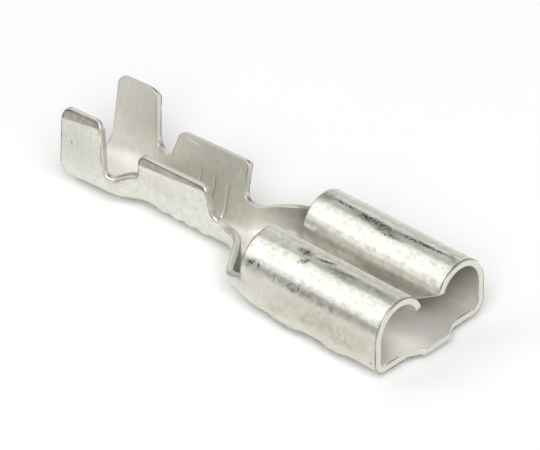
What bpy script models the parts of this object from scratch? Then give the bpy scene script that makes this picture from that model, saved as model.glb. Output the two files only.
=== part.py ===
"""Female quick-connect receptacle for a 6.3 mm tab, with open crimp barrels.

The terminal is one piece of tin-plated brass strip. It is modelled the way it is made: half of the flat
blank is outlined, given the stock's thickness and cut along its bend lines, then every point of it is
carried onto the folded form. The folded form is a loft of cross-sections along the terminal: flat floor,
bend, wall and two roll arcs at the socket, a drawn shoulder and neck, and two open U barrels.

Blank coordinates are x along the terminal (0 at the mouth, negative towards the wire), s across it (0 on
the centre line, the developed length of the cross-section) and n through the sheet (positive inside).
Lengths are in metres and angles in degrees.
"""

import math
from collections import namedtuple

import bmesh
import bpy
import numpy as np
from mathutils import Vector

# Strip
STOCK = 0.00038

# Socket: flat floor, upright walls, and rolls that turn in and down towards the floor
SOCKET_WIDTH = 0.0078
SOCKET_LENGTH = 0.0090
SOCKET_BEND_RADIUS = 0.00053
WALL_TOP = 0.00186
SHOULDER_ROLL_RADIUS = 0.00167
SHOULDER_ROLL_ANGLE = 51.0
CROWN_ROLL_RADIUS = 0.001445
LIP_ANGLE = 208.0
MOUTH_LIP_ANGLE = 162.5
LIP_LEAD_IN = 0.0020
LIP_LEAD_IN_RADIUS = 0.0012
LIP_CORNER_RADIUS = 0.0004
MOUTH_CORNER_RADIUS = 0.0002

# Cut-off stub of the carrier strip, in the middle of the mouth
STUB_LENGTH = 0.0005
STUB_LAND = 0.00015
STUB_WIDTH = 0.00187
STUB_ROOT_WIDTH = 0.0033
STUB_ROOT_RADIUS = 0.00025

# Detent dimple that drops into the tab's hole
DIMPLE_DISTANCE = 0.0046
DIMPLE_RADIUS = 0.00080
DIMPLE_HEIGHT = 0.00028

# Swages that stiffen each lower bend: distance behind the mouth and length
SWAGES = ((0.0033, 0.0019), (0.0063, 0.0021))
SWAGE_HEIGHT = 0.00018

# Slots that free the rolls from the shoulder
SLOT_WIDTH = 0.0011
SLOT_ROOT_RISE = 0.00074
SLOT_ROOT_RADIUS = 0.0002
SLOT_FILLET_RADIUS = 0.0004

# Drawn shoulder and neck
SHOULDER_LEAD = 0.0010
SHOULDER_EXTRA_RADIUS = 0.00096
SHOULDER_EDGE_FALL = 0.00065
NECK_LENGTH = 0.0048
NECK_EDGE = 0.00225
NECK_EDGE_LEAD = 0.0004
NECK_FILLET_RADIUS = 0.0009
WING_FOOT_RADIUS = 0.0005

# Conductor barrel
CONDUCTOR_RADIUS = 0.00093
CONDUCTOR_WALL_ANGLE = 77.0
CONDUCTOR_DROP = 0.00012
CONDUCTOR_SETBACK = 0.00055
CONDUCTOR_LENGTH = 0.00468
CONDUCTOR_WING_FRONT = 0.00431
CONDUCTOR_WING_REAR = 0.0041
CONDUCTOR_REAR_SLANT = 0.00045
CONDUCTOR_FRONT_CORNER = 0.0003
CONDUCTOR_REAR_CORNER = 0.0005

# Serrations pressed across the inside of the conductor barrel
SERRATION_COUNT = 4
SERRATION_PITCH = 0.00093
SERRATION_FIRST = 0.00107
SERRATION_WIDTH = 0.00024
SERRATION_DEPTH = 0.00009
SERRATION_REACH = 0.0028
SERRATION_FADE = 0.0003

# Window between the barrels
WINDOW_LENGTH = 0.00212
WINDOW_EDGE = 0.0024
WINDOW_EDGE_RISE = 0.0003
WINDOW_FRONT_RADIUS = 0.00035
WINDOW_REAR_RADIUS = 0.0008

# Insulation barrel
INSULATION_HALF_WIDTH = 0.00191
INSULATION_RADIUS = 0.00161
INSULATION_WALL_ANGLE = 87.6
INSULATION_DROP = 0.00022
INSULATION_REAR_DROP = 0.00042
INSULATION_LENGTH = 0.00268
INSULATION_WING = 0.00604
INSULATION_CORNER = 0.00055
INSULATION_REAR_SLANT = 0.00045
INSULATION_HEEL = 0.0020
INSULATION_HEEL_RADIUS = 0.0010

# Coined bevel along the outside of the wing tips
COIN_WIDTH = 0.00034
COIN_DEPTH = 0.00016

# Facets
ARC_STEP = 15.0
CORNER_STEP = 22.0
NECK_CELL = 0.00028
ON_PLANE = 0.00002
NORMAL_STEP = 1e-6
JOIN = 0.000002
ANYWHERE = (-1.0, 1.0)

# Distances behind the mouth that follow from the sizes above
NECK_START = SOCKET_LENGTH - SHOULDER_LEAD
NECK_END = NECK_START + NECK_LENGTH
ROLLS_END = SOCKET_LENGTH + SLOT_WIDTH / 2
SHOULDER_EDGE_DISTANCE = SOCKET_LENGTH + SLOT_WIDTH
CONDUCTOR_FRONT = NECK_END + CONDUCTOR_SETBACK
CONDUCTOR_REAR = CONDUCTOR_FRONT + CONDUCTOR_LENGTH
CONDUCTOR_HEEL = CONDUCTOR_REAR + CONDUCTOR_REAR_SLANT
INSULATION_FRONT = CONDUCTOR_REAR + WINDOW_LENGTH
INSULATION_REAR = INSULATION_FRONT + INSULATION_LENGTH
TERMINAL_REAR = INSULATION_REAR + INSULATION_REAR_SLANT
LENGTH = STUB_LENGTH + TERMINAL_REAR

# Developed lengths from the centre line across the socket, on the middle of the sheet
SOCKET_HALF = (SOCKET_WIDTH - STOCK) / 2
WALL_LENGTH = WALL_TOP - STOCK / 2 - SOCKET_BEND_RADIUS
BEND_START = SOCKET_HALF - SOCKET_BEND_RADIUS
BEND_END = BEND_START + SOCKET_BEND_RADIUS * math.pi / 2
ROLL_START = BEND_END + WALL_LENGTH
CROWN_START = ROLL_START + SHOULDER_ROLL_RADIUS * math.radians(SHOULDER_ROLL_ANGLE)
LIP = CROWN_START + CROWN_ROLL_RADIUS * math.radians(LIP_ANGLE - SHOULDER_ROLL_ANGLE)
MOUTH_LIP = CROWN_START + CROWN_ROLL_RADIUS * math.radians(MOUTH_LIP_ANGLE - SHOULDER_ROLL_ANGLE)
SLOT_ROOT = BEND_END + SLOT_ROOT_RISE
SHOULDER_EDGE = SLOT_ROOT - SHOULDER_EDGE_FALL

Section = namedtuple("Section", "distance half_width bend_radius wall_angle floor")

# Loft of the neck: way along it, share of the narrowing done, share of the shoulder's extra radius
NECK_LOFT = (
    (0.000, 0.00, 0.00),
    (0.167, 0.00, 0.33),
    (0.292, 0.00, 0.80),
    (0.375, 0.01, 1.00),
    (0.438, 0.09, 0.85),
    (0.500, 0.30, 0.60),
    (0.583, 0.54, 0.37),
    (0.708, 0.75, 0.18),
    (0.854, 0.91, 0.05),
    (1.000, 1.00, 0.00),
)


def mix(a, b, share):
    return a + (b - a) * share


def smooth_step(t):
    t = min(max(t, 0.0), 1.0)
    return t * t * (3 - 2 * t)


def neck_sections():
    """Cross-sections of the shoulder and neck, from the socket to the conductor barrel."""
    barrel_half = CONDUCTOR_RADIUS * math.sin(math.radians(CONDUCTOR_WALL_ANGLE))
    for way, narrowing, extra in NECK_LOFT:
        lean = smooth_step(2 * narrowing - 1)
        yield Section(
            NECK_START + NECK_LENGTH * way,
            mix(SOCKET_HALF, barrel_half, narrowing),
            mix(SOCKET_BEND_RADIUS, CONDUCTOR_RADIUS, narrowing) + SHOULDER_EXTRA_RADIUS * extra,
            mix(90.0, CONDUCTOR_WALL_ANGLE, lean),
            -CONDUCTOR_DROP * lean,
        )


def all_sections():
    """Cross-sections from the mouth to the rear of the insulation barrel."""
    mouth = Section(0.0, SOCKET_HALF, SOCKET_BEND_RADIUS, 90.0, 0.0)
    neck = list(neck_sections())
    conductor = neck[-1]
    insulation = Section(
        INSULATION_FRONT,
        INSULATION_HALF_WIDTH,
        INSULATION_RADIUS,
        INSULATION_WALL_ANGLE,
        -INSULATION_DROP,
    )
    rear = insulation._replace(distance=TERMINAL_REAR, floor=-INSULATION_REAR_DROP)
    return [mouth, *neck, conductor._replace(distance=CONDUCTOR_HEEL), insulation, rear]


def monotone_slopes(places, values):
    """Slopes of a smooth curve through the values that never overshoots them."""
    steps = np.diff(places)[:, None]
    rises = np.diff(values, axis=0) / steps
    before, after = rises[:-1], rises[1:]
    same_way = before * after > 0
    total = np.where(same_way, before + after, 1.0)
    inner = np.where(same_way, 2 * before * after / total, 0.0)
    return np.vstack([rises[:1], inner, rises[-1:]])


SECTIONS = all_sections()
PLACES = np.array([section.distance for section in SECTIONS])
VALUES = np.array([section[1:] for section in SECTIONS])
SLOPES = monotone_slopes(PLACES, VALUES)


def section_at(distance):
    """Cross-section at a distance behind the mouth, by a cubic between its two neighbours."""
    distance = min(max(distance, PLACES[0]), PLACES[-1])
    i = min(int(np.searchsorted(PLACES, distance, side="right")) - 1, len(PLACES) - 2)
    step = PLACES[i + 1] - PLACES[i]
    t = (distance - PLACES[i]) / step
    ends = VALUES[i] * (1 + 2 * t) * (1 - t) ** 2 + VALUES[i + 1] * t * t * (3 - 2 * t)
    bends = SLOPES[i] * t * (1 - t) ** 2 - SLOPES[i + 1] * t * t * (1 - t)
    return Section(distance, *(ends + bends * step))


def chain_at(distance):
    """Lengths and radii of the section's straights and arcs, from the centre line out."""
    section = section_at(distance)
    angle = math.radians(section.wall_angle)
    floor_half = section.half_width - section.bend_radius * math.sin(min(angle, math.pi / 2))
    chain = [(max(floor_half, 0.0), None), (section.bend_radius * angle, section.bend_radius)]
    if distance < ROLLS_END:
        chain.append((WALL_TOP - STOCK / 2 - section.bend_radius, None))
        chain.append((CROWN_START - ROLL_START, SHOULDER_ROLL_RADIUS))
        chain.append((math.inf, CROWN_ROLL_RADIUS))
    else:
        chain.append((math.inf, None))
    return chain, section.floor


def middle_point(x, s):
    """Point of the folded sheet's middle surface, walked along the section to arc length s."""
    chain, floor = chain_at(-x)
    y, z, heading, left = 0.0, floor + STOCK / 2, 0.0, s
    for length, radius in chain:
        part = min(left, length)
        if radius is None:
            y += part * math.cos(heading)
            z += part * math.sin(heading)
        else:
            turned = heading + part / radius
            y += radius * (math.sin(turned) - math.sin(heading))
            z += radius * (math.cos(heading) - math.cos(turned))
            heading = turned
        left -= part
        if left <= 0:
            break
    return np.array((x, y, z))


def folded_point(x, s, n):
    """Point of the folded terminal: n off the middle surface, square to it."""
    here = middle_point(x, s)
    along = middle_point(x + NORMAL_STEP, s) - middle_point(x - NORMAL_STEP, s)
    across = middle_point(x, s + NORMAL_STEP) - middle_point(x, max(s - NORMAL_STEP, 0.0))
    normal = np.cross(along, across)
    return here + normal / np.linalg.norm(normal) * n


def blank_corners():
    """Corners of half the blank as (x, s, corner radius), from the stub round to the rear."""
    return [
        (STUB_LENGTH, 0.0, 0.0),
        (STUB_LENGTH, STUB_WIDTH / 2, 0.0),
        (STUB_LENGTH - STUB_LAND, STUB_WIDTH / 2, 0.0),
        (0.0, STUB_ROOT_WIDTH / 2, STUB_ROOT_RADIUS),
        (0.0, MOUTH_LIP, MOUTH_CORNER_RADIUS),
        (-LIP_LEAD_IN, LIP, LIP_LEAD_IN_RADIUS),
        (-SOCKET_LENGTH, LIP, LIP_CORNER_RADIUS),
        (-SOCKET_LENGTH, SLOT_ROOT, SLOT_ROOT_RADIUS),
        (-SHOULDER_EDGE_DISTANCE, SHOULDER_EDGE, SLOT_FILLET_RADIUS),
        (NECK_EDGE_LEAD - NECK_END, NECK_EDGE, NECK_FILLET_RADIUS),
        (-CONDUCTOR_FRONT, NECK_EDGE, WING_FOOT_RADIUS),
        (-CONDUCTOR_FRONT, CONDUCTOR_WING_FRONT, CONDUCTOR_FRONT_CORNER),
        (-CONDUCTOR_REAR, CONDUCTOR_WING_REAR, CONDUCTOR_REAR_CORNER),
        (-CONDUCTOR_HEEL, WINDOW_EDGE, WINDOW_FRONT_RADIUS),
        (-INSULATION_FRONT, WINDOW_EDGE + WINDOW_EDGE_RISE, WINDOW_REAR_RADIUS),
        (-INSULATION_FRONT, INSULATION_WING, INSULATION_CORNER),
        (-INSULATION_REAR, INSULATION_WING, INSULATION_CORNER),
        (-TERMINAL_REAR, INSULATION_HEEL, INSULATION_HEEL_RADIUS),
        (-TERMINAL_REAR, 0.0, 0.0),
    ]


def corner_arc(before, corner, after, radius):
    """Points of the arc that rounds one corner of an outline."""
    to_before = (before - corner).normalized()
    to_after = (after - corner).normalized()
    opening = to_before.angle(to_after)
    centre = corner + (to_before + to_after).normalized() * radius / math.sin(opening / 2)
    first = corner + to_before * radius / math.tan(opening / 2) - centre
    turn = first.angle_signed(corner + to_after * radius / math.tan(opening / 2) - centre)
    steps = max(2, math.ceil(abs(math.degrees(turn)) / CORNER_STEP))
    for i in range(steps + 1):
        angle = math.atan2(first.y, first.x) - turn * i / steps
        yield centre + Vector((math.cos(angle), math.sin(angle))) * radius


def blank_outline():
    """Outline of half the blank, with its corners rounded."""
    corners = blank_corners()
    points = []
    for i, (x, s, radius) in enumerate(corners):
        corner = Vector((x, s))
        if radius == 0:
            points.append(corner)
            continue
        before = Vector(corners[i - 1][:2])
        after = Vector(corners[i + 1][:2])
        points.extend(corner_arc(before, corner, after, radius))
    return points


def half_blank():
    """Half of the flat blank as a solid strip, open on the centre line."""
    blank = bmesh.new()
    outline = [blank.verts.new((point.x, point.y, -STOCK / 2)) for point in blank_outline()]
    face = blank.faces.new(outline)
    face.normal_update()
    if face.normal.z > 0:
        face.normal_flip()
    raised = bmesh.ops.extrude_face_region(blank, geom=[face], use_keep_orig=True)
    top = [item for item in raised["geom"] if isinstance(item, bmesh.types.BMVert)]
    bmesh.ops.translate(blank, vec=(0, 0, STOCK), verts=top)
    bmesh.ops.recalc_face_normals(blank, faces=blank.faces)
    on_centre = [face for face in blank.faces if all(abs(v.co.y) < ON_PLANE for v in face.verts)]
    bmesh.ops.delete(blank, geom=on_centre, context="FACES_ONLY")
    return blank


def cut(blank, point, normal, x_range=ANYWHERE, s_range=ANYWHERE):
    """Cuts the faces of one region of the blank along a plane square to the strip."""
    region = {}
    for face in blank.faces:
        middle = face.calc_center_bounds()
        if x_range[0] < middle.x < x_range[1] and s_range[0] < middle.y < s_range[1]:
            region.update(dict.fromkeys((*face.verts, *face.edges, face)))
    bmesh.ops.bisect_plane(
        blank,
        geom=list(region),
        dist=ON_PLANE,
        plane_co=(*point, 0.0),
        plane_no=(*normal, 0.0),
    )


def evenly(start, end, step):
    """Places from start to end, both included, at most a step apart."""
    count = max(1, math.ceil(abs(end - start) / step - 0.01))
    return [mix(start, end, i / count) for i in range(count + 1)]


def serration_places():
    """Distances of the serrations behind the mouth."""
    first = CONDUCTOR_FRONT + SERRATION_FIRST
    return [first + SERRATION_PITCH * i for i in range(SERRATION_COUNT)]


def cut_bend_lines(blank):
    """Divides the flat blank where it will bend, so that each facet stays near the true form."""
    socket = (-NECK_START, ANYWHERE[1])
    rolls = (-ROLLS_END, ANYWHERE[1])
    behind_rolls = (ANYWHERE[0], -ROLLS_END)
    behind_socket = (ANYWHERE[0], -NECK_START)
    cut(blank, (-NECK_START, 0), (1, 0))
    cut(blank, (-ROLLS_END, 0), (1, 0))

    step = math.radians(ARC_STEP)
    for s in evenly(BEND_START, BEND_END, SOCKET_BEND_RADIUS * step):
        cut(blank, (0, s), (0, 1), socket)
    rolled = evenly(ROLL_START, CROWN_START, SHOULDER_ROLL_RADIUS * step)
    rolled += evenly(CROWN_START, LIP, CROWN_ROLL_RADIUS * step)[1:-1]
    for s in rolled:
        cut(blank, (0, s), (0, 1), rolls)

    for s in evenly(0.0, SLOT_ROOT, NECK_CELL)[1:]:
        cut(blank, (0, s), (0, 1), behind_socket)
    middle_of_wing = (SLOT_ROOT + INSULATION_WING - COIN_WIDTH) / 2
    cut(blank, (0, middle_of_wing), (0, 1), behind_rolls)

    for before, after in zip(NECK_LOFT[:-1], NECK_LOFT[1:]):
        for way in (mix(before[0], after[0], 0.5), after[0]):
            cut(blank, (-NECK_START - NECK_LENGTH * way, 0), (1, 0))
    for distance in serration_places():
        for side in (-1, 0, 1):
            cut(blank, (-distance - side * SERRATION_WIDTH / 2, 0), (1, 0))
    for distance in evenly(CONDUCTOR_HEEL, INSULATION_FRONT, NECK_CELL):
        cut(blank, (-distance, 0), (1, 0))
    for distance in evenly(INSULATION_FRONT, TERMINAL_REAR, INSULATION_LENGTH / 2)[1:-1]:
        cut(blank, (-distance, 0), (1, 0))

    bend = (BEND_START, BEND_END)
    for distance, length in SWAGES:
        for place in evenly(distance - length / 2, distance + length / 2, length / 8):
            cut(blank, (-place, 0), (1, 0), socket, bend)

    across_dimple = (-DIMPLE_DISTANCE - DIMPLE_RADIUS, -DIMPLE_DISTANCE + DIMPLE_RADIUS)
    for place in evenly(*across_dimple, DIMPLE_RADIUS / 5):
        cut(blank, (place, 0), (1, 0), socket, (0.0, BEND_START))
    for s in evenly(0.0, DIMPLE_RADIUS, DIMPLE_RADIUS / 5)[1:]:
        cut(blank, (0, s), (0, 1), across_dimple, (0.0, BEND_START))

    rise = (CONDUCTOR_WING_FRONT - CONDUCTOR_WING_REAR) / CONDUCTOR_LENGTH
    coin_start = (-CONDUCTOR_FRONT, CONDUCTOR_WING_FRONT - COIN_WIDTH)
    conductor = (-CONDUCTOR_HEEL, -CONDUCTOR_FRONT)
    insulation = (ANYWHERE[0], -INSULATION_FRONT)
    cut(blank, coin_start, (-rise, 1), conductor, (WINDOW_EDGE, ANYWHERE[1]))
    cut(blank, (0, INSULATION_WING - COIN_WIDTH), (0, 1), insulation)


def window(offset, reach):
    """Smooth hump that is 1 in the middle and 0 beyond the reach."""
    if abs(offset) >= reach:
        return 0.0
    return math.cos(math.pi / 2 * offset / reach) ** 2


def swage_rise(x, s):
    """How far the sheet is pushed outwards at a point of the socket's lower bend."""
    turned = (s - BEND_START) / SOCKET_BEND_RADIUS
    if not 0 < turned < math.pi / 2:
        return 0.0
    along = sum(window(-x - distance, length / 2) for distance, length in SWAGES)
    return SWAGE_HEIGHT * math.sin(2 * turned) ** 4 * along


def dimple_rise(x, s):
    """How far the sheet is pushed inwards at a point of the socket's floor."""
    return DIMPLE_HEIGHT * window(math.hypot(x + DIMPLE_DISTANCE, s), DIMPLE_RADIUS)


def serration_depth(x, s):
    """Depth of the groove pressed into the inside of the conductor barrel."""
    fade = min(max((SERRATION_REACH - s) / SERRATION_FADE, 0.0), 1.0)
    offsets = [abs(-x - distance) / (SERRATION_WIDTH / 2) for distance in serration_places()]
    return SERRATION_DEPTH * fade * max(0.0, 1.0 - min(offsets))


def coined_depth(x, s):
    """How far the outside of a wing tip is coined back."""
    distance = -x
    if CONDUCTOR_FRONT - ON_PLANE < distance < CONDUCTOR_HEEL:
        way = (distance - CONDUCTOR_FRONT) / CONDUCTOR_LENGTH
        tip = mix(CONDUCTOR_WING_FRONT, CONDUCTOR_WING_REAR, way)
    elif distance > INSULATION_FRONT - ON_PLANE:
        tip = INSULATION_WING
    else:
        return 0.0
    return COIN_DEPTH * min(max(1 - (tip - s) / COIN_WIDTH, 0.0), 1.0)


def fold(blank):
    """Carries every point of the flat blank onto the folded terminal."""
    for vert in blank.verts:
        x, s, n = vert.co
        if n > 0:
            n -= serration_depth(x, s)
        else:
            n += coined_depth(x, s)
        vert.co = folded_point(x, s, n + dimple_rise(x, s) - swage_rise(x, s))


def tin_plated_brass():
    """Pale warm satin tin over brass strip."""
    material = bpy.data.materials.new("tin_plated_brass")
    material.use_nodes = True
    shader = material.node_tree.nodes["Principled BSDF"]
    shader.inputs["Base Color"].default_value = (0.72, 0.70, 0.65, 1.0)
    shader.inputs["Metallic"].default_value = 1.0
    shader.inputs["Roughness"].default_value = 0.32
    return material


def terminal(collection):
    """The folded terminal, standing on its lowest point with its box centred on the origin."""
    blank = half_blank()
    cut_bend_lines(blank)
    bmesh.ops.triangulate(blank, faces=blank.faces[:])
    fold(blank)
    to_origin = Vector((LENGTH / 2 - STUB_LENGTH, 0.0, INSULATION_REAR_DROP))
    bmesh.ops.translate(blank, verts=blank.verts, vec=to_origin)
    mesh = bpy.data.meshes.new("receptacle_terminal")
    blank.to_mesh(mesh)
    blank.free()
    mesh.materials.append(tin_plated_brass())
    body = bpy.data.objects.new("receptacle_terminal", mesh)
    collection.objects.link(body)

    mirror = body.modifiers.new("other_half", "MIRROR")
    mirror.use_axis = (False, True, False)
    mirror.use_clip = True
    mirror.merge_threshold = JOIN


def build():
    for old in list(bpy.data.objects):
        bpy.data.objects.remove(old, do_unlink=True)
    collection = bpy.data.collections.new("quick_connect_receptacle")
    bpy.context.scene.collection.children.link(collection)
    terminal(collection)


build()
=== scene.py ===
"""Looks of a push-on receptacle terminal in tin-plated brass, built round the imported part.

The terminal is one strip that is blanked, coined and folded, so it is one surface here too. A grid over
the flat blank is carried onto the folded form, once for the inner face and once for the outer one, and a
rounded rim joins the two. Sizes are in millimetres. On the blank, x runs along the terminal, 0 at the mouth
and negative towards the wire, and s runs across it from the centre line, negative on the near half. Through
the strip, n is positive on the inner side.
"""

import logging
import math
from dataclasses import dataclass
from enum import Enum
from typing import NamedTuple

import bpy
import numpy as np
from mathutils import Matrix, Vector
from numpy.typing import NDArray


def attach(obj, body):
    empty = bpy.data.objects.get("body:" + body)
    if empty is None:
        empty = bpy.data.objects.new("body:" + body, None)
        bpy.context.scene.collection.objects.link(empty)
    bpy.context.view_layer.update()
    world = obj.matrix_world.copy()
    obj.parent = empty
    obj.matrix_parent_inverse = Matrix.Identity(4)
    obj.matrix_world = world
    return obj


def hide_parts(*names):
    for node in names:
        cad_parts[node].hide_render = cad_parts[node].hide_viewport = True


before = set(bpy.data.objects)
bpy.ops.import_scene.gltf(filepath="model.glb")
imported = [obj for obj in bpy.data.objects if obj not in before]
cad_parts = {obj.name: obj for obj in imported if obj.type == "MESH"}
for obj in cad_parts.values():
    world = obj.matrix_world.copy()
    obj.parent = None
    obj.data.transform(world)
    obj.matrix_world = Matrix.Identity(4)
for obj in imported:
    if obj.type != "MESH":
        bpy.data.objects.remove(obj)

Array = NDArray[np.float64]
Ints = NDArray[np.int64]
Link = bpy.types.Node | bpy.types.NodeSocket | float | tuple[float, ...]

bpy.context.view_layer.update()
NODE = "receptacle_terminal"
MM = 0.001
# Slack in the test of whether a place lies on a wing
EDGE_MARGIN = 0.01

log = logging.getLogger("receptacle")


class Corner(NamedTuple):
    """A corner of the blank's outline, with the radius that rounds it."""

    x: float
    s: float
    radius: float = 0.0


class Face(Enum):
    """The two faces of the strip."""

    INNER = "inner"
    OUTER = "outer"


class Breakup(Enum):
    """What breaks up a mark: short dark flecks, soft clouds, or nothing."""

    FLECKS = "flecks"
    CLOUDS = "clouds"
    NOTHING = "nothing"


@dataclass(frozen=True)
class Strip:
    """The strip that the terminal is stamped from. The tool has burnished its outer arris rounder."""

    thickness: float = 0.38
    inner_arris: float = 0.05
    outer_arris: float = 0.11
    rim_steps: int = 5

    @property
    def half(self) -> float:
        """Half the thickness."""
        return self.thickness / 2

    def rim(self) -> tuple[Array, Array, Array]:
        """Profile of the strip's cut edge, from the inner face to the outer one.

        It is a quarter circle at each face, joined by a straight. At angle a of the quarter, it lies the
        arris's radius times one less the sine of a in from the edge, and the radius times one less the
        cosine of a below the face.

        Returns:
            For each ring of points: its place through the strip as a share of half the thickness, how far
            in from the edge it lies, and how far it has turned to the cut edge, as the squared sine of a.
        """
        quarter = np.linspace(0, np.pi / 2, self.rim_steps + 1)[1:]
        back = quarter[::-1]
        inner, outer = self.inner_arris, self.outer_arris
        shares = [1 - inner * (1 - np.cos(quarter)) / self.half, outer * (1 - np.cos(back)) / self.half - 1]
        reaches = [inner * (1 - np.sin(quarter)), outer * (1 - np.sin(back))]
        turns = [np.sin(quarter) ** 2, np.sin(back) ** 2]
        return np.concatenate(shares), np.concatenate(reaches), np.concatenate(turns)


STRIP = Strip()


def smooth_step(t: Array) -> Array:
    """Goes from 0 to 1 as t does, level at both ends: three t squared less two t cubed."""
    t = np.clip(t, 0.0, 1.0)
    return t * t * (3 - 2 * t)


def hump(offset: Array, reach: float) -> Array:
    """Smooth bump: the squared cosine of a quarter turn times offset over reach, and 0 past the reach."""
    return np.cos(np.pi / 2 * np.clip(np.abs(offset) / reach, 0.0, 1.0)) ** 2


def along_line(points: Array) -> Array:
    """Length along a line of points up to each one, from 0."""
    return np.concatenate([[0.0], np.cumsum(np.hypot(*np.diff(points, axis=0).T))])


def rounded(corners: list[Corner], arc_steps: int = 24) -> Array:
    """Rounds the corners of an open outline.

    Each corner becomes the arc of its radius that touches both its sides: the arc's centre lies on the line
    that halves the corner, radius over the sine of half its opening away.

    Args:
        corners: Corners in order. The first and last stay as points.
        arc_steps: Number of steps of each arc.

    Returns:
        Points of the rounded outline, one row each.
    """
    parts = [np.array([corners[0][:2]])]
    for before, here, after in zip(corners[:-2], corners[1:-1], corners[2:]):
        corner = np.array(here[:2])
        if here.radius == 0:
            parts.append(corner[None])
            continue
        sides = np.array([before[:2], after[:2]]) - corner
        sides /= np.linalg.norm(sides, axis=1)[:, None]
        half = math.acos(np.clip(sides[0] @ sides[1], -1.0, 1.0)) / 2
        middle = (sides[0] + sides[1]) / np.linalg.norm(sides[0] + sides[1])
        centre = corner + middle * here.radius / math.sin(half)
        start, end = (corner + side * here.radius / math.tan(half) - centre for side in sides)
        first = math.atan2(start[1], start[0])
        turn = math.remainder(math.atan2(end[1], end[0]) - first, 2 * math.pi)
        angles = first + turn * np.linspace(0, 1, arc_steps + 1)
        parts.append(centre + here.radius * np.stack([np.cos(angles), np.sin(angles)], -1))
    parts.append(np.array([corners[-1][:2]]))
    return np.concatenate(parts)


def evenly_spread(points: Array, step: float) -> Array:
    """Spreads points evenly along a line.

    Args:
        points: Points of the line, one row each.
        step: Greatest length between two of the new points.

    Returns:
        The new points, both ends included.
    """
    lengths = along_line(points)
    count = max(2, math.ceil(lengths[-1] / step))
    places = np.linspace(0, lengths[-1], count + 1)
    return np.stack([np.interp(places, lengths, points[:, axis]) for axis in (0, 1)], -1)


@dataclass(frozen=True)
class Socket:
    """Tab socket: flat floor, upright walls and rolls that turn in and down towards the floor."""

    width: float = 7.8
    length: float = 9.0
    bend_radius: float = 0.53
    wall_top: float = 1.86
    roll_radius: float = 1.67
    roll_angle: float = 51.0
    crown_radius: float = 1.445
    lip_angle: float = 208.0
    mouth_lip_angle: float = 162.5
    lead_in: float = 2.0
    lead_in_radius: float = 1.2
    lip_corner: float = 0.4
    mouth_corner: float = 0.2
    dimple_distance: float = 4.6
    dimple_radius: float = 0.8
    dimple_height: float = 0.28
    swages: tuple[tuple[float, float], ...] = ((2.9, 1.65), (6.1, 2.2))
    swage_height: float = 0.15
    swage_flank: float = 0.45

    @property
    def half(self) -> float:
        """Half the width, to the middle of the strip."""
        return self.width / 2 - STRIP.half

    @property
    def bend_start(self) -> float:
        """Developed length from the centre line to the lower bend."""
        return self.half - self.bend_radius

    @property
    def bend_end(self) -> float:
        """Developed length from the centre line to the foot of the wall."""
        return self.bend_start + self.bend_radius * math.pi / 2

    @property
    def roll_start(self) -> float:
        """Developed length from the centre line to the start of the roll."""
        return self.bend_end + self.wall_top - STRIP.half - self.bend_radius

    def roll_length(self, angle: float) -> float:
        """Developed length from the centre line to an angle of the roll, in degrees."""
        shoulder = self.roll_radius * math.radians(self.roll_angle)
        return self.roll_start + shoulder + self.crown_radius * math.radians(angle - self.roll_angle)

    @property
    def lip(self) -> float:
        """Developed length from the centre line to the lip."""
        return self.roll_length(self.lip_angle)

    @property
    def mouth_lip(self) -> float:
        """Developed length from the centre line to the lip at the mouth."""
        return self.roll_length(self.mouth_lip_angle)

    def relief(self, x: Array, s: Array) -> Array:
        """How far the strip is pushed inwards.

        The dimple is a hump of the distance from its centre. Each swage is a flat step with steep flanks
        along the lower bend, times the fourth power of the sine of twice the bend's angle there, pushed
        outwards.

        Args:
            x: Place along the terminal.
            s: Place across the blank.

        Returns:
            Offset along n.
        """
        dimple = self.dimple_height * hump(np.hypot(x + self.dimple_distance, s), self.dimple_radius)
        turned = np.clip((np.abs(s) - self.bend_start) / self.bend_radius, 0.0, np.pi / 2)
        along = sum(
            smooth_step((length / 2 - np.abs(-x - distance)) / self.swage_flank)
            for distance, length in self.swages
        )
        return dimple - self.swage_height * np.sin(2 * turned) ** 4 * along


@dataclass(frozen=True)
class CarrierStub:
    """Cut-off end of the strip that carried the terminal, in the middle of the mouth."""

    length: float = 0.5
    land: float = 0.15
    width: float = 1.87
    root_width: float = 3.3
    root_radius: float = 0.25

    def corners(self) -> list[Corner]:
        """Corners from the stub's front to the mouth, with no end point."""
        return [
            Corner(self.length, self.width / 2),
            Corner(self.length - self.land, self.width / 2),
            Corner(0.0, self.root_width / 2, self.root_radius),
        ]


@dataclass(frozen=True)
class Neck:
    """Drawn shoulder and neck, and the slots that free the rolls from them.

    Each row of the loft is a station: the share of the neck's length, the share of the narrowing from the
    socket to the conductor barrel, and the share of the extra radius that the shoulder's bend has.
    """

    lead: float = 1.0
    length: float = 4.8
    extra_radius: float = 0.96
    slot_width: float = 1.1
    slot_root_rise: float = 0.74
    slot_root_radius: float = 0.2
    slot_fillet: float = 0.4
    edge_fall: float = 0.65
    edge: float = 2.25
    edge_lead: float = 0.4
    edge_fillet: float = 0.9
    loft: tuple[tuple[float, float, float], ...] = (
        (0.000, 0.00, 0.00),
        (0.167, 0.00, 0.33),
        (0.292, 0.00, 0.80),
        (0.375, 0.01, 1.00),
        (0.438, 0.09, 0.85),
        (0.500, 0.30, 0.60),
        (0.583, 0.54, 0.37),
        (0.708, 0.75, 0.18),
        (0.854, 0.91, 0.05),
        (1.000, 1.00, 0.00),
    )


@dataclass(frozen=True)
class Coining:
    """Bevel that is coined along the outside of a wing tip, wider towards the rear."""

    front_width: float
    rear_width: float
    depth: float


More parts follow.
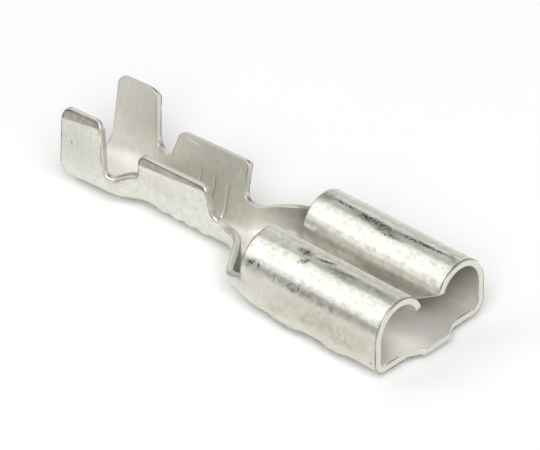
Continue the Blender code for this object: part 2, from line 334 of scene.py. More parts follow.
@dataclass(frozen=True)
class ConductorBarrel:
    """Open U barrel that is crimped on the wire's strands, with serrations pressed across its inside."""

    radius: float = 0.93
    wall_angle: float = 77.0
    drop: float = 0.12
    setback: float = 0.55
    length: float = 4.68
    wing_front: float = 4.31
    wing_rear: float = 4.1
    rear_slant: float = 0.45
    foot_radius: float = 0.5
    front_corner: float = 0.3
    rear_corner: float = 0.5
    serrations: int = 4
    pitch: float = 0.93
    first: float = 1.07
    groove_width: float = 0.2
    groove_depth: float = 0.085
    groove_reach: float = 2.85
    groove_fade: float = 0.35
    ripple_height: float = 0.09
    ripple_power: float = 1.5
    ripple_reach: float = 3.25
    ripple_fade: float = 1.2
    coining: Coining = Coining(0.16, 0.62, 0.15)

    def groove_places(self, front: float) -> Array:
        """Distances of the serrations behind the mouth, for a barrel that starts at front."""
        return front + self.first + self.pitch * np.arange(self.serrations)


@dataclass(frozen=True)
class InsulationBarrel:
    """Open U barrel that is crimped on the wire's insulation."""

    half_width: float = 1.91
    radius: float = 1.61
    wall_angle: float = 87.6
    drop: float = 0.22
    rear_drop: float = 0.42
    length: float = 2.68
    wing: float = 6.04
    corner: float = 0.55
    rear_slant: float = 0.45
    heel: float = 2.0
    heel_blend: float = 0.3
    coining: Coining = Coining(0.36, 0.7, 0.2)
    ding: tuple[float, float] = (-22.47, -4.13)
    ding_radius: float = 0.26
    ding_depth: float = 0.1


@dataclass(frozen=True)
class Window:
    """Gap in the wings between the two barrels."""

    length: float = 2.12
    edge: float = 2.4
    edge_rise: float = 0.3
    front_radius: float = 0.35
    rear_radius: float = 0.8


class Section(NamedTuple):
    """Cross-section of the folded form: its place, half width, bend radius, wall angle and floor height."""

    distance: float
    half_width: float
    bend_radius: float
    wall_angle: float
    floor: float


@dataclass
class TerminalForm:
    """Sizes of the whole terminal and the way from its flat blank to its folded form."""

    socket: Socket = Socket()
    stub: CarrierStub = CarrierStub()
    neck: Neck = Neck()
    conductor: ConductorBarrel = ConductorBarrel()
    window: Window = Window()
    insulation: InsulationBarrel = InsulationBarrel()

    def __post_init__(self) -> None:
        """Works out the distances that follow from the sizes, and the slopes of the loft at its sections.

        A slope is the harmonic mean of the rises before and after its section, and 0 where they differ in
        sign, so that no value swings past those of its two neighbours.
        """
        socket, neck, conductor, insulation = self.socket, self.neck, self.conductor, self.insulation
        self.neck_start = socket.length - neck.lead
        self.neck_end = self.neck_start + neck.length
        self.rolls_end = socket.length + neck.slot_width / 2
        self.slot_root = socket.bend_end + neck.slot_root_rise
        self.gap_edge = self.window.edge + self.window.edge_rise
        self.conductor_front = self.neck_end + conductor.setback
        self.conductor_rear = self.conductor_front + conductor.length
        self.conductor_heel = self.conductor_rear + conductor.rear_slant
        self.insulation_front = self.conductor_rear + self.window.length
        self.insulation_rear = self.insulation_front + insulation.length
        self.rear = self.insulation_rear + insulation.rear_slant
        self.origin = np.array([(self.rear - self.stub.length) / 2, 0.0, insulation.rear_drop])
        sections = self.sections()
        self.places = np.array([section.distance for section in sections])
        self.values = np.array([section[1:] for section in sections])
        steps = np.diff(self.places)[:, None]
        rises = np.diff(self.values, axis=0) / steps
        before, after = rises[:-1], rises[1:]
        same_way = before * after > 0
        total = np.where(same_way, before + after, 1.0)
        inner = np.where(same_way, 2 * before * after / total, 0.0)
        self.slopes = np.vstack([rises[:1], inner, rises[-1:]])

    def sections(self) -> list[Section]:
        """Works out the cross-sections that the form is lofted through.

        Returns:
            Sections from the mouth to the rear of the insulation barrel.
        """
        socket, neck, conductor, insulation = self.socket, self.neck, self.conductor, self.insulation
        barrel_half = conductor.radius * math.sin(math.radians(conductor.wall_angle))
        found = [Section(0.0, socket.half, socket.bend_radius, 90.0, 0.0)]
        for way, narrowing, extra in neck.loft:
            lean = float(smooth_step(np.array(2 * narrowing - 1)))
            found.append(
                Section(
                    self.neck_start + neck.length * way,
                    socket.half + (barrel_half - socket.half) * narrowing,
                    socket.bend_radius
                    + (conductor.radius - socket.bend_radius) * narrowing
                    + neck.extra_radius * extra,
                    90.0 + (conductor.wall_angle - 90.0) * lean,
                    -conductor.drop * lean,
                )
            )
        found.append(found[-1]._replace(distance=self.conductor_heel))
        found.append(
            Section(
                self.insulation_front,
                insulation.half_width,
                insulation.radius,
                insulation.wall_angle,
                -insulation.drop,
            )
        )
        found.append(found[-1]._replace(distance=self.rear, floor=-insulation.rear_drop))
        return found

    def section_at(self, distance: Array) -> Array:
        """Cross-sections at distances behind the mouth.

        Between two stations each value follows the cubic that has their values and slopes.

        Args:
            distance: Distances behind the mouth.

        Returns:
            Half width, bend radius, wall angle and floor height, along the last axis.
        """
        distance = np.clip(distance, self.places[0], self.places[-1])
        i = np.clip(np.searchsorted(self.places, distance, side="right") - 1, 0, len(self.places) - 2)
        step = (self.places[i + 1] - self.places[i])[..., None]
        t = (distance - self.places[i])[..., None] / step
        ends = self.values[i] * (1 + 2 * t) * (1 - t) ** 2 + self.values[i + 1] * t * t * (3 - 2 * t)
        bends = self.slopes[i] * t * (1 - t) ** 2 - self.slopes[i + 1] * t * t * (1 - t)
        return ends + bends * step

    def middle(self, x: Array, s: Array) -> Array:
        """Points of the folded strip's middle surface.

        The section is a chain of straights and arcs. Along a straight, y and z grow with the cosine and
        sine of the heading. Along an arc, y grows by the radius times the change of the heading's sine, and
        z by the radius times the fall of its cosine.

        Args:
            x: Place along the terminal.
            s: Developed length from the centre line, 0 or more.

        Returns:
            Points, with x, y and z along the last axis.
        """
        half_width, radius, degrees, floor = np.moveaxis(self.section_at(-x), -1, 0)
        angle = np.radians(degrees)
        flat = np.maximum(half_width - radius * np.sin(np.minimum(angle, np.pi / 2)), 0.0)
        rolled = -x < self.rolls_end
        socket = self.socket
        wall = np.where(rolled, socket.wall_top - STRIP.half - radius, np.inf)
        shoulder = np.full_like(x, socket.roll_radius * math.radians(socket.roll_angle))
        endless = np.full_like(x, np.inf)
        chain = (
            (flat, None),
            (radius * angle, radius),
            (wall, None),
            (shoulder, socket.roll_radius),
            (endless, socket.crown_radius),
        )
        y = np.zeros_like(x)
        z = floor + STRIP.half
        heading = np.zeros_like(x)
        left = s.copy()
        for length, bend in chain:
            part = np.minimum(left, length)
            if bend is None:
                y = y + part * np.cos(heading)
                z = z + part * np.sin(heading)
            else:
                turned = heading + part / bend
                y = y + bend * (np.sin(turned) - np.sin(heading))
                z = z + bend * (np.cos(heading) - np.cos(turned))
                heading = turned
            left = left - part
        return np.stack([x, y, z], -1)

    def folded(self, x: Array, s: Array, n: Array) -> Array:
        """Points of the folded terminal, n off its middle surface and square to it.

        The normal is the cross product of the surface's slopes along x and along s. The half with negative
        s is the other half's mirror image.

        Args:
            x: Place along the terminal.
            s: Place across the blank, negative on the near half.
            n: Place through the strip.

        Returns:
            Points in millimetres, with x, y and z along the last axis.
        """
        across = np.abs(s)
        step = 1e-4
        along_x = self.middle(x + step, across) - self.middle(x - step, across)
        along_s = self.middle(x, across + step) - self.middle(x, np.maximum(across - step, 0.0))
        normal = np.cross(along_x, along_s)
        normal /= np.linalg.norm(normal, axis=-1, keepdims=True)
        points = self.middle(x, across) + normal * n[..., None]
        points[..., 1] *= np.where(s < 0, -1.0, 1.0)
        return points

    def coined(self, x: Array, s: Array) -> Array:
        """Share of the coining's depth at each place: 1 at the wing tip, 0 the coining's width below it.

        Args:
            x: Place along the terminal.
            s: Place across the blank.

        Returns:
            Shares from 0 to 1, and 0 where there is no wing.
        """
        conductor, insulation = self.conductor, self.insulation
        wings = (
            (conductor, self.conductor_front, conductor.wing_front, conductor.wing_rear),
            (insulation, self.insulation_front, insulation.wing, insulation.wing),
        )
        share = np.zeros_like(x)
        for barrel, front, tip_front, tip_rear in wings:
            way = (-x - front) / barrel.length
            tip = tip_front + (tip_rear - tip_front) * way
            coining = barrel.coining
            width = coining.front_width + (coining.rear_width - coining.front_width) * way
            on_wing = (way > -EDGE_MARGIN) & (-x < front + barrel.length + barrel.rear_slant)
            share = np.where(on_wing, np.clip(1 - (tip - np.abs(s)) / width, 0.0, 1.0), share)
        return share

    def coined_depth(self, x: Array, s: Array) -> Array:
        """How far the outside is coined back.

        Args:
            x: Place along the terminal.
            s: Place across the blank.

        Returns:
            Depths off the outer face.
        """
        conductor, insulation = self.conductor.coining.depth, self.insulation.coining.depth
        depth = np.where(-x < self.insulation_front - EDGE_MARGIN, conductor, insulation)
        return depth * self.coined(x, s)

    def off_groove(self, x: Array) -> Array:
        """Distance of each place along the terminal from the nearest serration."""
        places = self.conductor.groove_places(self.conductor_front)
        return np.abs(-x[..., None] - places).min(-1)

    def serration(self, x: Array, s: Array) -> Array:
        """Share of the serrations' depth: a V across each groove, fading out towards the wing tips.

        Args:
            x: Place along the terminal.
            s: Place across the blank.

        Returns:
            Shares from 0 to 1.
        """
        conductor = self.conductor
        fade = smooth_step((conductor.groove_reach - np.abs(s)) / conductor.groove_fade)
        return np.clip(1 - self.off_groove(x) / (conductor.groove_width / 2), 0.0, 1.0) * fade

    def ripple(self, x: Array, s: Array) -> Array:
        """Share of the swell that the serrations raise on the outside: a hump behind each groove.

        Args:
            x: Place along the terminal.
            s: Place across the blank.

        Returns:
            Shares from 0 to 1.
        """
        conductor = self.conductor
        fade = smooth_step((conductor.ripple_reach - np.abs(s)) / conductor.ripple_fade)
        return hump(self.off_groove(x), conductor.pitch / 2) ** conductor.ripple_power * fade

    def unevenness(self, x: Array, s: Array) -> Array:
        """Slow waves that stamping leaves in the strip: a sum of sines, a few micrometres high.

        Args:
            x: Place along the terminal.
            s: Place across the blank.

        Returns:
            Offset along n.
        """
        # Height of each wave, how fast it turns along x and along s, and its phase
        waves = (
            (0.0040, 1.9, 0.7, 0.3),
            (0.0030, -1.1, 2.3, 1.7),
            (0.0024, 3.1, 1.9, 4.1),
            (0.0018, -2.7, 4.3, 2.2),
            (0.0014, 5.3, -3.7, 5.0),
        )
        return sum(height * np.sin(a * x + b * s + phase) for height, a, b, phase in waves)

    def through(self, x: Array, s: Array, share: Array) -> Array:
        """Place through the strip, with all that is pressed into it.

        Args:
            x: Place along the terminal.
            s: Place across the blank.
            share: 1 on the inner face, -1 on the outer face, and between them on the rim.

        Returns:
            Offset from the middle surface.
        """
        inner = np.clip(share, 0.0, 1.0)
        outer = np.clip(-share, 0.0, 1.0)
        ding_x, ding_s = self.insulation.ding
        ding = hump(np.hypot(x - ding_x, s - ding_s), self.insulation.ding_radius)
        pressed = self.socket.relief(x, s) + self.unevenness(x, s) + self.insulation.ding_depth * ding
        grooves = self.conductor.groove_depth * self.serration(x, s) * inner
        swell = self.conductor.ripple_height * self.ripple(x, s) * outer
        coined = self.coined_depth(x, s) * outer
        return share * STRIP.half + pressed - grooves - swell + coined

    def rear_edge(self, s: Array) -> Array:
        """Rear edge of the blank: straight across its middle, then slanting forward to the wing tips.

        The slant rises with the distance past the heel. Near the heel the two meet in a parabola: that
        distance plus the blend, squared, over four times the blend.

        Args:
            s: Places across the blank.

        Returns:
            The edge's x at each place.
        """
        insulation = self.insulation
        slant = insulation.rear_slant / (insulation.wing - insulation.heel)
        over = np.abs(s) - insulation.heel
        blend = insulation.heel_blend
        rise = np.where(over > blend, over, np.clip(over + blend, 0.0, None) ** 2 / (4 * blend))
        return -self.rear + slant * rise


class Feet(NamedTuple):
    """Points on the blank's edge where the wings' feet begin and end."""

    mouth: Corner
    socket: Corner
    conductor: Corner
    heel: Corner
    insulation: Corner
    rear: Corner


class Wing(NamedTuple):
    """A wing that stands on the edge: its first column, its tip line's points and its number of rows."""

    start: int
    top: Array
    rows: int


@dataclass
class Blank:
    """Grid over the flat blank: columns from the centre line to its edge, and wings that stand on it."""

    form: TerminalForm
    step: float = 0.115
    least_step: float = 0.004
    strip_rows: int = 24
    socket_rows: int = 52
    conductor_rows: int = 22
    insulation_rows: int = 26
    groove_columns: int = 7
    mouth_margin: float = 0.12
    slot_margin: float = 0.2
    heel_margin: float = 0.35
    foot_margin: float = 0.05

    def __post_init__(self) -> None:
        """Lays the centre strip from the stub to the rear, and the three pairs of wings on its edge."""
        self.points: list[Array] = []
        self.faces: list[Ints] = []
        self.count = 0
        self.bases: list[Array] = []
        self.centres: list[Array] = []
        self.wings: list[Wing] = []
        self.lay_edge()
        self.lay_grids()

    def feet(self) -> Feet:
        """Works out where the wings stand.

        Returns:
            Points on the edge, each a margin past the corner at the foot of a wing.
        """
        form = self.form
        neck, conductor, window = form.neck, form.conductor, form.window
        heel_s = window.edge + self.heel_margin
        heel_slant = conductor.rear_slant / (conductor.wing_rear - window.edge)
        rear_s = form.gap_edge + window.rear_radius + self.foot_margin
        return Feet(
            mouth=Corner(0.0, form.stub.root_width / 2 + self.mouth_margin),
            socket=Corner(-form.socket.length, form.slot_root + self.slot_margin),
            conductor=Corner(-form.conductor_front, neck.edge + conductor.foot_radius + self.foot_margin),
            heel=Corner(-form.conductor_heel + heel_slant * (heel_s - window.edge), heel_s),
            insulation=Corner(-form.insulation_front, rear_s),
            rear=Corner(float(form.rear_edge(np.array(rear_s))), rear_s),
        )

    def lay_edge(self) -> None:
        """Goes along the edge from the stub to the rear, over open stretches and wings in turn."""
        form, feet = self.form, self.feet()
        socket, neck, conductor = form.socket, form.neck, form.conductor
        window, insulation = form.window, form.insulation
        shoulder_x = -(socket.length + neck.slot_width)
        half_groove = conductor.groove_width / 2
        across_groove = np.linspace(-half_groove, half_groove, self.groove_columns)
        grooves = -conductor.groove_places(form.conductor_front)[:, None] + across_groove

        self.add_open_stretch([*form.stub.corners(), feet.mouth])
        self.add_wing(
            [
                feet.mouth,
                Corner(0.0, socket.mouth_lip, socket.mouth_corner),
                Corner(-socket.lead_in, socket.lip, socket.lead_in_radius),
                Corner(-socket.length, socket.lip, socket.lip_corner),
                feet.socket,
            ],
            self.socket_rows,
        )
        self.add_open_stretch(
            [
                feet.socket,
                Corner(-socket.length, form.slot_root, neck.slot_root_radius),
                Corner(shoulder_x, form.slot_root - neck.edge_fall, neck.slot_fillet),
                Corner(neck.edge_lead - form.neck_end, neck.edge, neck.edge_fillet),
                Corner(-form.conductor_front, neck.edge, conductor.foot_radius),
                feet.conductor,
            ]
        )
        self.add_wing(
            [
                feet.conductor,
                Corner(-form.conductor_front, conductor.wing_front, conductor.front_corner),
                Corner(-form.conductor_rear, conductor.wing_rear, conductor.rear_corner),
                feet.heel,
            ],
            self.conductor_rows,
            grooves.ravel(),
        )
        self.add_open_stretch(
            [
                feet.heel,
                Corner(-form.conductor_heel, window.edge, window.front_radius),
                Corner(-form.insulation_front, form.gap_edge, window.rear_radius),
                feet.insulation,
            ]
        )
        self.add_wing(
            [
                feet.insulation,
                Corner(-form.insulation_front, insulation.wing, insulation.corner),
                Corner(-form.insulation_rear, insulation.wing, insulation.corner),
                feet.rear,
            ],
            self.insulation_rows,
        )

    def add_open_stretch(self, corners: list[Corner]) -> None:
        """Adds columns that end on the blank's edge.

        Args:
            corners: Corners of this stretch of the edge.
        """
        base = evenly_spread(rounded(corners), self.step)
        share = np.linspace(0, 1, len(base))
        centre = base[0, 0] + (base[-1, 0] - base[0, 0]) * share
        skip = 1 if self.bases else 0
        self.bases.append(base[skip:])
        self.centres.append(centre[skip:])

    def add_wing(self, corners: list[Corner], rows: int, extra: Array | None = None) -> None:
        """Adds columns that carry a wing, whose foot runs smoothly from its first corner to its last.

        Args:
            corners: Corners of the wing, from the front of its foot over its tip to the rear of its foot.
            rows: Number of rows from foot to tip.
            extra: Further x values that need a column, if any.
        """
        front, rear = corners[0], corners[-1]
        top = rounded(corners)[1:-1]
        shares = self.wing_shares(top, extra)
        x = front.x + (rear.x - front.x) * shares
        s = front.s + (rear.s - front.s) * smooth_step(shares)
        top_x = top[0, 0] + (top[-1, 0] - top[0, 0]) * shares
        order = np.argsort(top[:, 0])
        top_s = np.interp(top_x, top[order, 0], top[order, 1])
        top_s[0], top_s[-1] = top[0, 1], top[-1, 1]
        start = sum(len(base) for base in self.bases) - 1
        self.wings.append(Wing(start, np.stack([top_x, top_s], -1), rows))
        self.bases.append(np.stack([x, s], -1)[1:])
        self.centres.append(x[1:])

    def wing_shares(self, top: Array, extra: Array | None) -> Array:
        """Places of a wing's columns, as shares of its length.

        Args:
            top: Rounded tip line of the wing, from its front edge to its rear edge.
            extra: Further x values that need a column, if any.

        Returns:
            Shares from 0 to 1, closer together round the corners.
        """
        length = top[-1, 0] - top[0, 0]
        wanted = evenly_spread(top, self.step)[:, 0]
        if extra is not None:
            wanted = np.concatenate([wanted, extra])
        shares = (wanted - top[0, 0]) / length
        shares = np.unique(np.clip(shares, 0.0, 1.0))
        keep = np.concatenate([[True], np.diff(shares) * abs(length) > self.least_step])
        shares = shares[keep]
        shares[-1] = 1.0
        return shares

    def lay_grids(self) -> None:
        """Lays the strip between the centre line and the edge, and each wing from its foot to its tip.

        Rows go in equal shares along straight columns. Over the last wing's length, the columns lean more
        and more, in proportion to the way along its foot, until the last one follows the rear edge.
        """
        base = np.concatenate(self.bases)
        centre_x = np.concatenate(self.centres)
        centre_x[-1] = -self.form.rear
        t = np.linspace(0, 1, self.strip_rows + 1)
        centre = np.stack([centre_x, np.zeros_like(centre_x)], -1)
        grid = centre[:, None] + t[None, :, None] * (base - centre)[:, None]
        last = self.wings[-1].start
        share = (base[last:, 0] - base[last, 0]) / (base[-1, 0] - base[last, 0])
        front_x = grid[last, :, 0]
        rear_x = self.form.rear_edge(grid[-1, :, 1])
        grid[last:, :, 0] = front_x + share[:, None] * (rear_x - front_x)
        numbers = self.add_grid(grid)
        self.centre_numbers = numbers[:, 0]
        for start, top, rows in self.wings:
            foot = base[start : start + len(top)]
            v = np.linspace(0, 1, rows + 1)
            wing = foot[:, None] + v[None, :, None] * (top - foot)[:, None]
            self.add_grid(wing, numbers[start : start + len(top), -1])

    def add_grid(self, grid: Array, foot: Ints | None = None) -> Ints:
        """Adds a grid of points and the quads between them.

        Args:
            grid: Points, columns first, each with x and s.
            foot: Numbers of points that already stand for row 0, if any.

        Returns:
            Number of each point of the grid.
        """
        columns, rows = grid.shape[:2]
        numbers = np.empty((columns, rows), np.int64)
        start = 0
        if foot is not None:
            numbers[:, 0] = foot
            start = 1
        fresh = columns * (rows - start)
        numbers[:, start:] = self.count + np.arange(fresh).reshape(columns, rows - start)
        self.points.append(grid[:, start:].reshape(-1, 2))
        self.count += fresh
        a, b = numbers[:-1, :-1], numbers[1:, :-1]
        c, d = numbers[1:, 1:], numbers[:-1, 1:]
        self.faces.append(np.stack([a, d, c, b], -1).reshape(-1, 4))
        return numbers

    def both_halves(self) -> tuple[Array, Ints]:
        """Mirrors the half that was laid.

        Returns:
            Points of both halves, each with x and s, and quads that run anticlockwise in x and s.
        """
        points = np.concatenate(self.points)
        faces = np.concatenate(self.faces)
        others = np.ones(len(points), bool)
        others[self.centre_numbers] = False
        mirrored = np.arange(len(points))
        mirrored[others] = len(points) + np.arange(others.sum())
        other_points = points[others] * [1.0, -1.0]
        other_faces = mirrored[faces][:, ::-1]
        return np.concatenate([points, other_points]), np.concatenate([faces, other_faces])


def border_edges(faces: Ints) -> Ints:
    """Edges that only one face has.

    Args:
        faces: Quads.

    Returns:
        Start and end point of each such edge, in the order in which its face runs through it.
    """
    edges = np.concatenate([faces[:, [i, (i + 1) % 4]] for i in range(4)])
    _, index, uses = np.unique(np.sort(edges, axis=1), axis=0, return_index=True, return_counts=True)
    return edges[index[uses == 1]]


def outward_normals(points: Array, border: Ints) -> Array:
    """Unit normals in the plane at a border's points, as the mean of the normals of each point's two edges.

    Args:
        points: Points, each with x and s.
        border: Start and end point of each edge of the border.

    Returns:
        One normal for each point, 0 for a point off the border.
    """
    run = points[border[:, 1]] - points[border[:, 0]]
    outward = np.stack([run[:, 1], -run[:, 0]], -1)
    outward /= np.linalg.norm(outward, axis=1)[:, None]
    normals = np.zeros_like(points)
    np.add.at(normals, border[:, 0], outward)
    np.add.at(normals, border[:, 1], outward)
    rim = np.unique(border)
    normals[rim] /= np.linalg.norm(normals[rim], axis=1)[:, None]
    return normals


@dataclass
class Terminal:
    """The terminal as one closed mesh."""

    form: TerminalForm

    def build(self) -> bpy.types.Object:
        """Builds both faces of the strip from the blank's grid, and the rim between them ring by ring.

        Returns:
            The finished object, at the origin.
        """
        points, faces = Blank(self.form).both_halves()
        border = border_edges(faces)
        normals = outward_normals(points, border)
        rim = np.unique(border)
        count = len(points)
        number = np.full(count, -1)
        number[rim] = np.arange(len(rim))

        flat = [points - normals * STRIP.inner_arris, points - normals * STRIP.outer_arris]
        through = [np.ones(count), -np.ones(count)]
        cut = [np.zeros(2 * count)]
        rings = [border]
        for i, (share, reach, turned) in enumerate(zip(*STRIP.rim())):
            flat.append(points[rim] - normals[rim] * reach)
            through.append(np.full(len(rim), share))
            cut.append(np.full(len(rim), turned))
            rings.append(2 * count + i * len(rim) + number[border])
        rings.append(border + count)
        quads = [faces, faces[:, ::-1] + count]
        for upper, lower in zip(rings[:-1], rings[1:]):
            quads.append(np.stack([upper[:, 1], upper[:, 0], lower[:, 0], lower[:, 1]], -1))
        return self.mesh_object(
            np.concatenate(flat), np.concatenate(through), np.concatenate(cut), np.concatenate(quads)
        )

    def mesh_object(self, blank: Array, share: Array, cut: Array, quads: Ints) -> bpy.types.Object:
        """Folds the points and makes the object, with what its material reads.

        Args:
            blank: Each point's x and s.
            share: Each point's place through the strip, 1 on the inner face and -1 on the outer one.
            cut: How far each point has turned to the cut edge, from 0 to 1.
            quads: Quads that run anticlockwise seen from outside.

        Returns:
            The object.
        """
        x, s = blank[:, 0], blank[:, 1]
        inner, outer = np.clip(share, 0.0, 1.0), np.clip(-share, 0.0, 1.0)
        place = self.form.folded(x, s, self.form.through(x, s, share)) + self.form.origin
        mesh = bpy.data.meshes.new(f"{NODE}_skin")
        mesh.from_pydata(place * MM, [], quads)
        mesh.polygons.foreach_set("use_smooth", np.ones(len(quads), bool))
        self.add_map(mesh, blank)
        self.add_value(mesh, "cut_edge", cut)
        self.add_value(mesh, "face", share)
        self.add_value(mesh, "coined", self.form.coined(x, s) * outer)
        self.add_value(mesh, "groove", self.form.serration(x, s) * inner)
        mesh.validate()
        skin = bpy.data.objects.new(f"{NODE}_skin", mesh)
        bpy.context.scene.collection.objects.link(skin)
        return skin

    @staticmethod
    def add_map(mesh: bpy.types.Mesh, blank: Array) -> None:
        """Lays the blank's coordinates over the mesh as its UV map, in millimetres.

        Args:
            mesh: Mesh to add it to.
            blank: Each point's x and s.
        """
        layer = mesh.uv_layers.new(name="blank")
        corners = np.empty(len(mesh.loops), np.int64)
        mesh.loops.foreach_get("vertex_index", corners)
        layer.uv.foreach_set("vector", blank[corners].astype(np.float32).ravel())

    @staticmethod
    def add_value(mesh: bpy.types.Mesh, name: str, values: Array) -> None:
        """Stores one number for each point of the mesh."""
        attribute = mesh.attributes.new(name, "FLOAT", "POINT")
        attribute.data.foreach_set("value", values.astype(np.float32))


def linear(code: str) -> tuple[float, float, float, float]:
    """Turns an sRGB hex colour into linear RGB with alpha.

    Args:
        code: Six hex digits after a hash sign.

    Returns:
        Red, green, blue and alpha.
    """
    shares = [int(code[i : i + 2], 16) / 255 for i in (1, 3, 5)]
    red, green, blue = (c / 12.92 if c <= 0.04045 else ((c + 0.055) / 1.055) ** 2.4 for c in shares)
    return (red, green, blue, 1.0)


class Nodes:
    """A material's or a world's node tree, with one way to add a node to it."""

    def __init__(self, owner: bpy.types.Material | bpy.types.World) -> None:
        """Starts with an empty tree.

        Args:
            owner: Material or world whose nodes these are.
        """
        owner.use_nodes = True
        self.tree = owner.node_tree
        self.tree.nodes.clear()

    def add(
        self, kind: str, inputs: dict[str | int, Link] | None = None, **settings: str
    ) -> bpy.types.Node:
        """Adds a node with its settings and links.

        Args:
            kind: Node type, without its ShaderNode prefix.
            inputs: Value, output or node for each input, by name or number. A node stands for the first of
                its outputs that is in use.
            **settings: Attributes of the node.

        Returns:
            The node.
        """
        node = self.tree.nodes.new(f"ShaderNode{kind}")
        for name, value in settings.items():
            setattr(node, name, value)
        for name, value in (inputs or {}).items():
            if isinstance(value, bpy.types.Node):
                value = next(output for output in value.outputs if output.enabled)
            if isinstance(value, bpy.types.NodeSocket):
                self.tree.links.new(value, node.inputs[name])
            else:
                node.inputs[name].default_value = value
        return node


class Limits(NamedTuple):
    """Two levels of a value, between which a Map Range node takes it to two others."""

    low: float
    high: float

    def of(self, value: Link, to_low: float = 0.0, to_high: float = 1.0) -> dict[str | int, Link]:
        """Inputs of a Map Range node that reads value between these limits."""
        ends = {"From Min": self.low, "From Max": self.high, "To Min": to_low, "To Max": to_high}
        return {"Value": value, **ends}


class Mark(NamedTuple):
    """Oval place of a mark, from a tool or painted light: its centre on the blank, half sizes, turn in
    degrees and strength.

    The place across the blank is measured from the centre line on either half.
    """

    x: float
    s: float
    along: float
    across: float
    turn: float = 0.0
    strength: float = 1.0


@dataclass(frozen=True)
class WearAndLight:
    """Marks of one kind on one face: what they do to its colour and roughness, and how ragged they are."""

    colour: str
    near: tuple[Mark, ...] = ()
    far: tuple[Mark, ...] = ()
    face: Face = Face.OUTER
    breakup: Breakup = Breakup.CLOUDS
    rougher: float = 0.1
    core: float = 0.35
    ragged_mm: float = 0.16
    smear_mm: float = 0.09

    def level(self, nodes: Nodes, blank: Link) -> Link:
        """Level of the marks at each place.

        The distance from a mark's centre, in its half lengths and half widths, gives 0 at its border and
        its strength from the core inwards. The place is shifted by noise first, so that the borders are
        ragged, and the highest level of any mark counts.

        Args:
            nodes: Node tree of the material.
            blank: Place on the blank.

        Returns:
            The level.
        """
        noise = nodes.add("TexNoise", {"Vector": blank, "Scale": 1 / self.ragged_mm, "Detail": 3.0})
        middle = (0.5, 0.5, 0.5)
        shift = nodes.add("VectorMath", {0: noise.outputs["Color"], 1: middle}, operation="SUBTRACT")
        shift = nodes.add("VectorMath", {0: shift, "Scale": self.smear_mm * 2}, operation="SCALE")
        place = nodes.add("VectorMath", {0: blank, 1: shift}, operation="ADD")
        level: Link = 0.0
        for sign, mark in [(-1, mark) for mark in self.near] + [(1, mark) for mark in self.far]:
            oval = {
                "Vector": place,
                "Location": (mark.x, mark.s * sign, 0.0),
                "Rotation": (0.0, 0.0, math.radians(mark.turn * sign)),
                "Scale": (mark.along, mark.across, 1.0),
            }
            local = nodes.add("Mapping", oval, vector_type="TEXTURE")
            away = nodes.add("VectorMath", {0: local}, operation="LENGTH")
            inside = nodes.add("MapRange", Limits(1.0, self.core).of(away, to_high=mark.strength))
            level = nodes.add("Math", {0: inside, 1: level}, operation="MAXIMUM")
        return level


def painted_wall_shades(in_socket: float) -> tuple[Mark, ...]:
    """Painted shade on the inner walls of one half, with the strength that it has in the socket."""
    return (
        Mark(-4.80, 6.80, 9.50, 4.20, strength=in_socket),
        Mark(-11.20, 3.70, 2.40, 2.50, strength=0.6),
        Mark(-15.60, 4.00, 5.60, 4.40, strength=0.3),
        Mark(-21.60, 5.40, 4.60, 4.60, strength=0.34),
    )


# Painted shade on the inner walls of the folds, strongest on the far wall of the socket
PAINTED_SHADE_WALLS = WearAndLight(
    "#6B675D",
    near=painted_wall_shades(0.4),
    far=painted_wall_shades(1.0),
    face=Face.INNER,
    breakup=Breakup.NOTHING,
    rougher=0.0,
    core=0.3,
    ragged_mm=0.6,
    smear_mm=0.1,
)
# Painted light on the floors of the folds: at the socket's mouth, in the neck and in the insulation barrel
PAINTED_LIGHT_FLOORS = WearAndLight(
    "#FBF9F4",
    near=(Mark(-1.00, 1.50, 3.80, 4.20),),
    far=(
        Mark(-21.40, 0.10, 2.60, 1.90, 0.0, 0.9),
        Mark(-11.20, 0.10, 3.00, 1.90),
    ),
    face=Face.INNER,
    breakup=Breakup.NOTHING,
    rougher=0.0,
    ragged_mm=0.8,
    smear_mm=0.3,
)
# Fine bright creases inside the far wing of the conductor barrel
TIP_CREASES = WearAndLight(
    "#F7F2EA",
    far=(
        Mark(-17.00, 3.84, 0.95, 0.045, -3.0, 0.9),
        Mark(-15.00, 3.70, 1.30, 0.04, 2.0, 0.6),
        Mark(-13.80, 3.70, 0.05, 0.28, 8.0, 0.8),
        Mark(-13.95, 3.30, 0.05, 0.16, -20.0, 0.6),
    ),
    face=Face.INNER,
    rougher=0.0,
)
# Dull clouds on the outside of the near half, and painted shade over the near wall of the socket
DULL_CLOUDS_AND_SHADE = WearAndLight(
    "#9B9480",
    near=(
        # Painted shade over the near wall of the socket
        Mark(-3.40, 4.85, 6.80, 1.35, 0.0, 0.85),
        Mark(-9.00, 4.75, 1.10, 0.60, 0.0, 0.6),
        Mark(-6.60, 4.30, 1.30, 0.60),
        Mark(-4.60, 4.50, 1.50, 0.60, 8.0),
        Mark(-2.20, 4.45, 1.80, 0.60),
        Mark(-16.50, 2.60, 2.20, 0.80, 0.0, 0.3),
        Mark(-21.80, 4.00, 2.40, 1.80, 0.0, 0.4),
        Mark(-19.40, 2.50, 0.70, 0.25, 0.0, 0.9),
    ),
    core=-0.2,
    ragged_mm=0.8,
    smear_mm=0.4,
)
# Grey haze along the tool's path, round the scuffs, and a painted dark reflection on the near roll under
# its highlight
HAZE_AND_DARK_REFLECTION = WearAndLight(
    "#96938B",
    near=(
        Mark(-3.60, 7.38, 2.90, 0.38, 0.0, 0.9),
        Mark(-0.90, 7.48, 1.30, 0.36, 0.0, 0.8),
        Mark(-8.20, 5.72, 1.30, 0.40, 0.0, 0.6),
        # Painted dark reflection along the near roll, under its highlight
        Mark(-3.70, 5.80, 6.40, 0.28),
    ),
    far=(
        Mark(-4.40, 7.90, 4.80, 0.36, -1.0, 0.7),
        Mark(-8.70, 7.80, 0.90, 0.50, 0.0, 0.6),
    ),
    core=0.1,
    smear_mm=0.2,
)
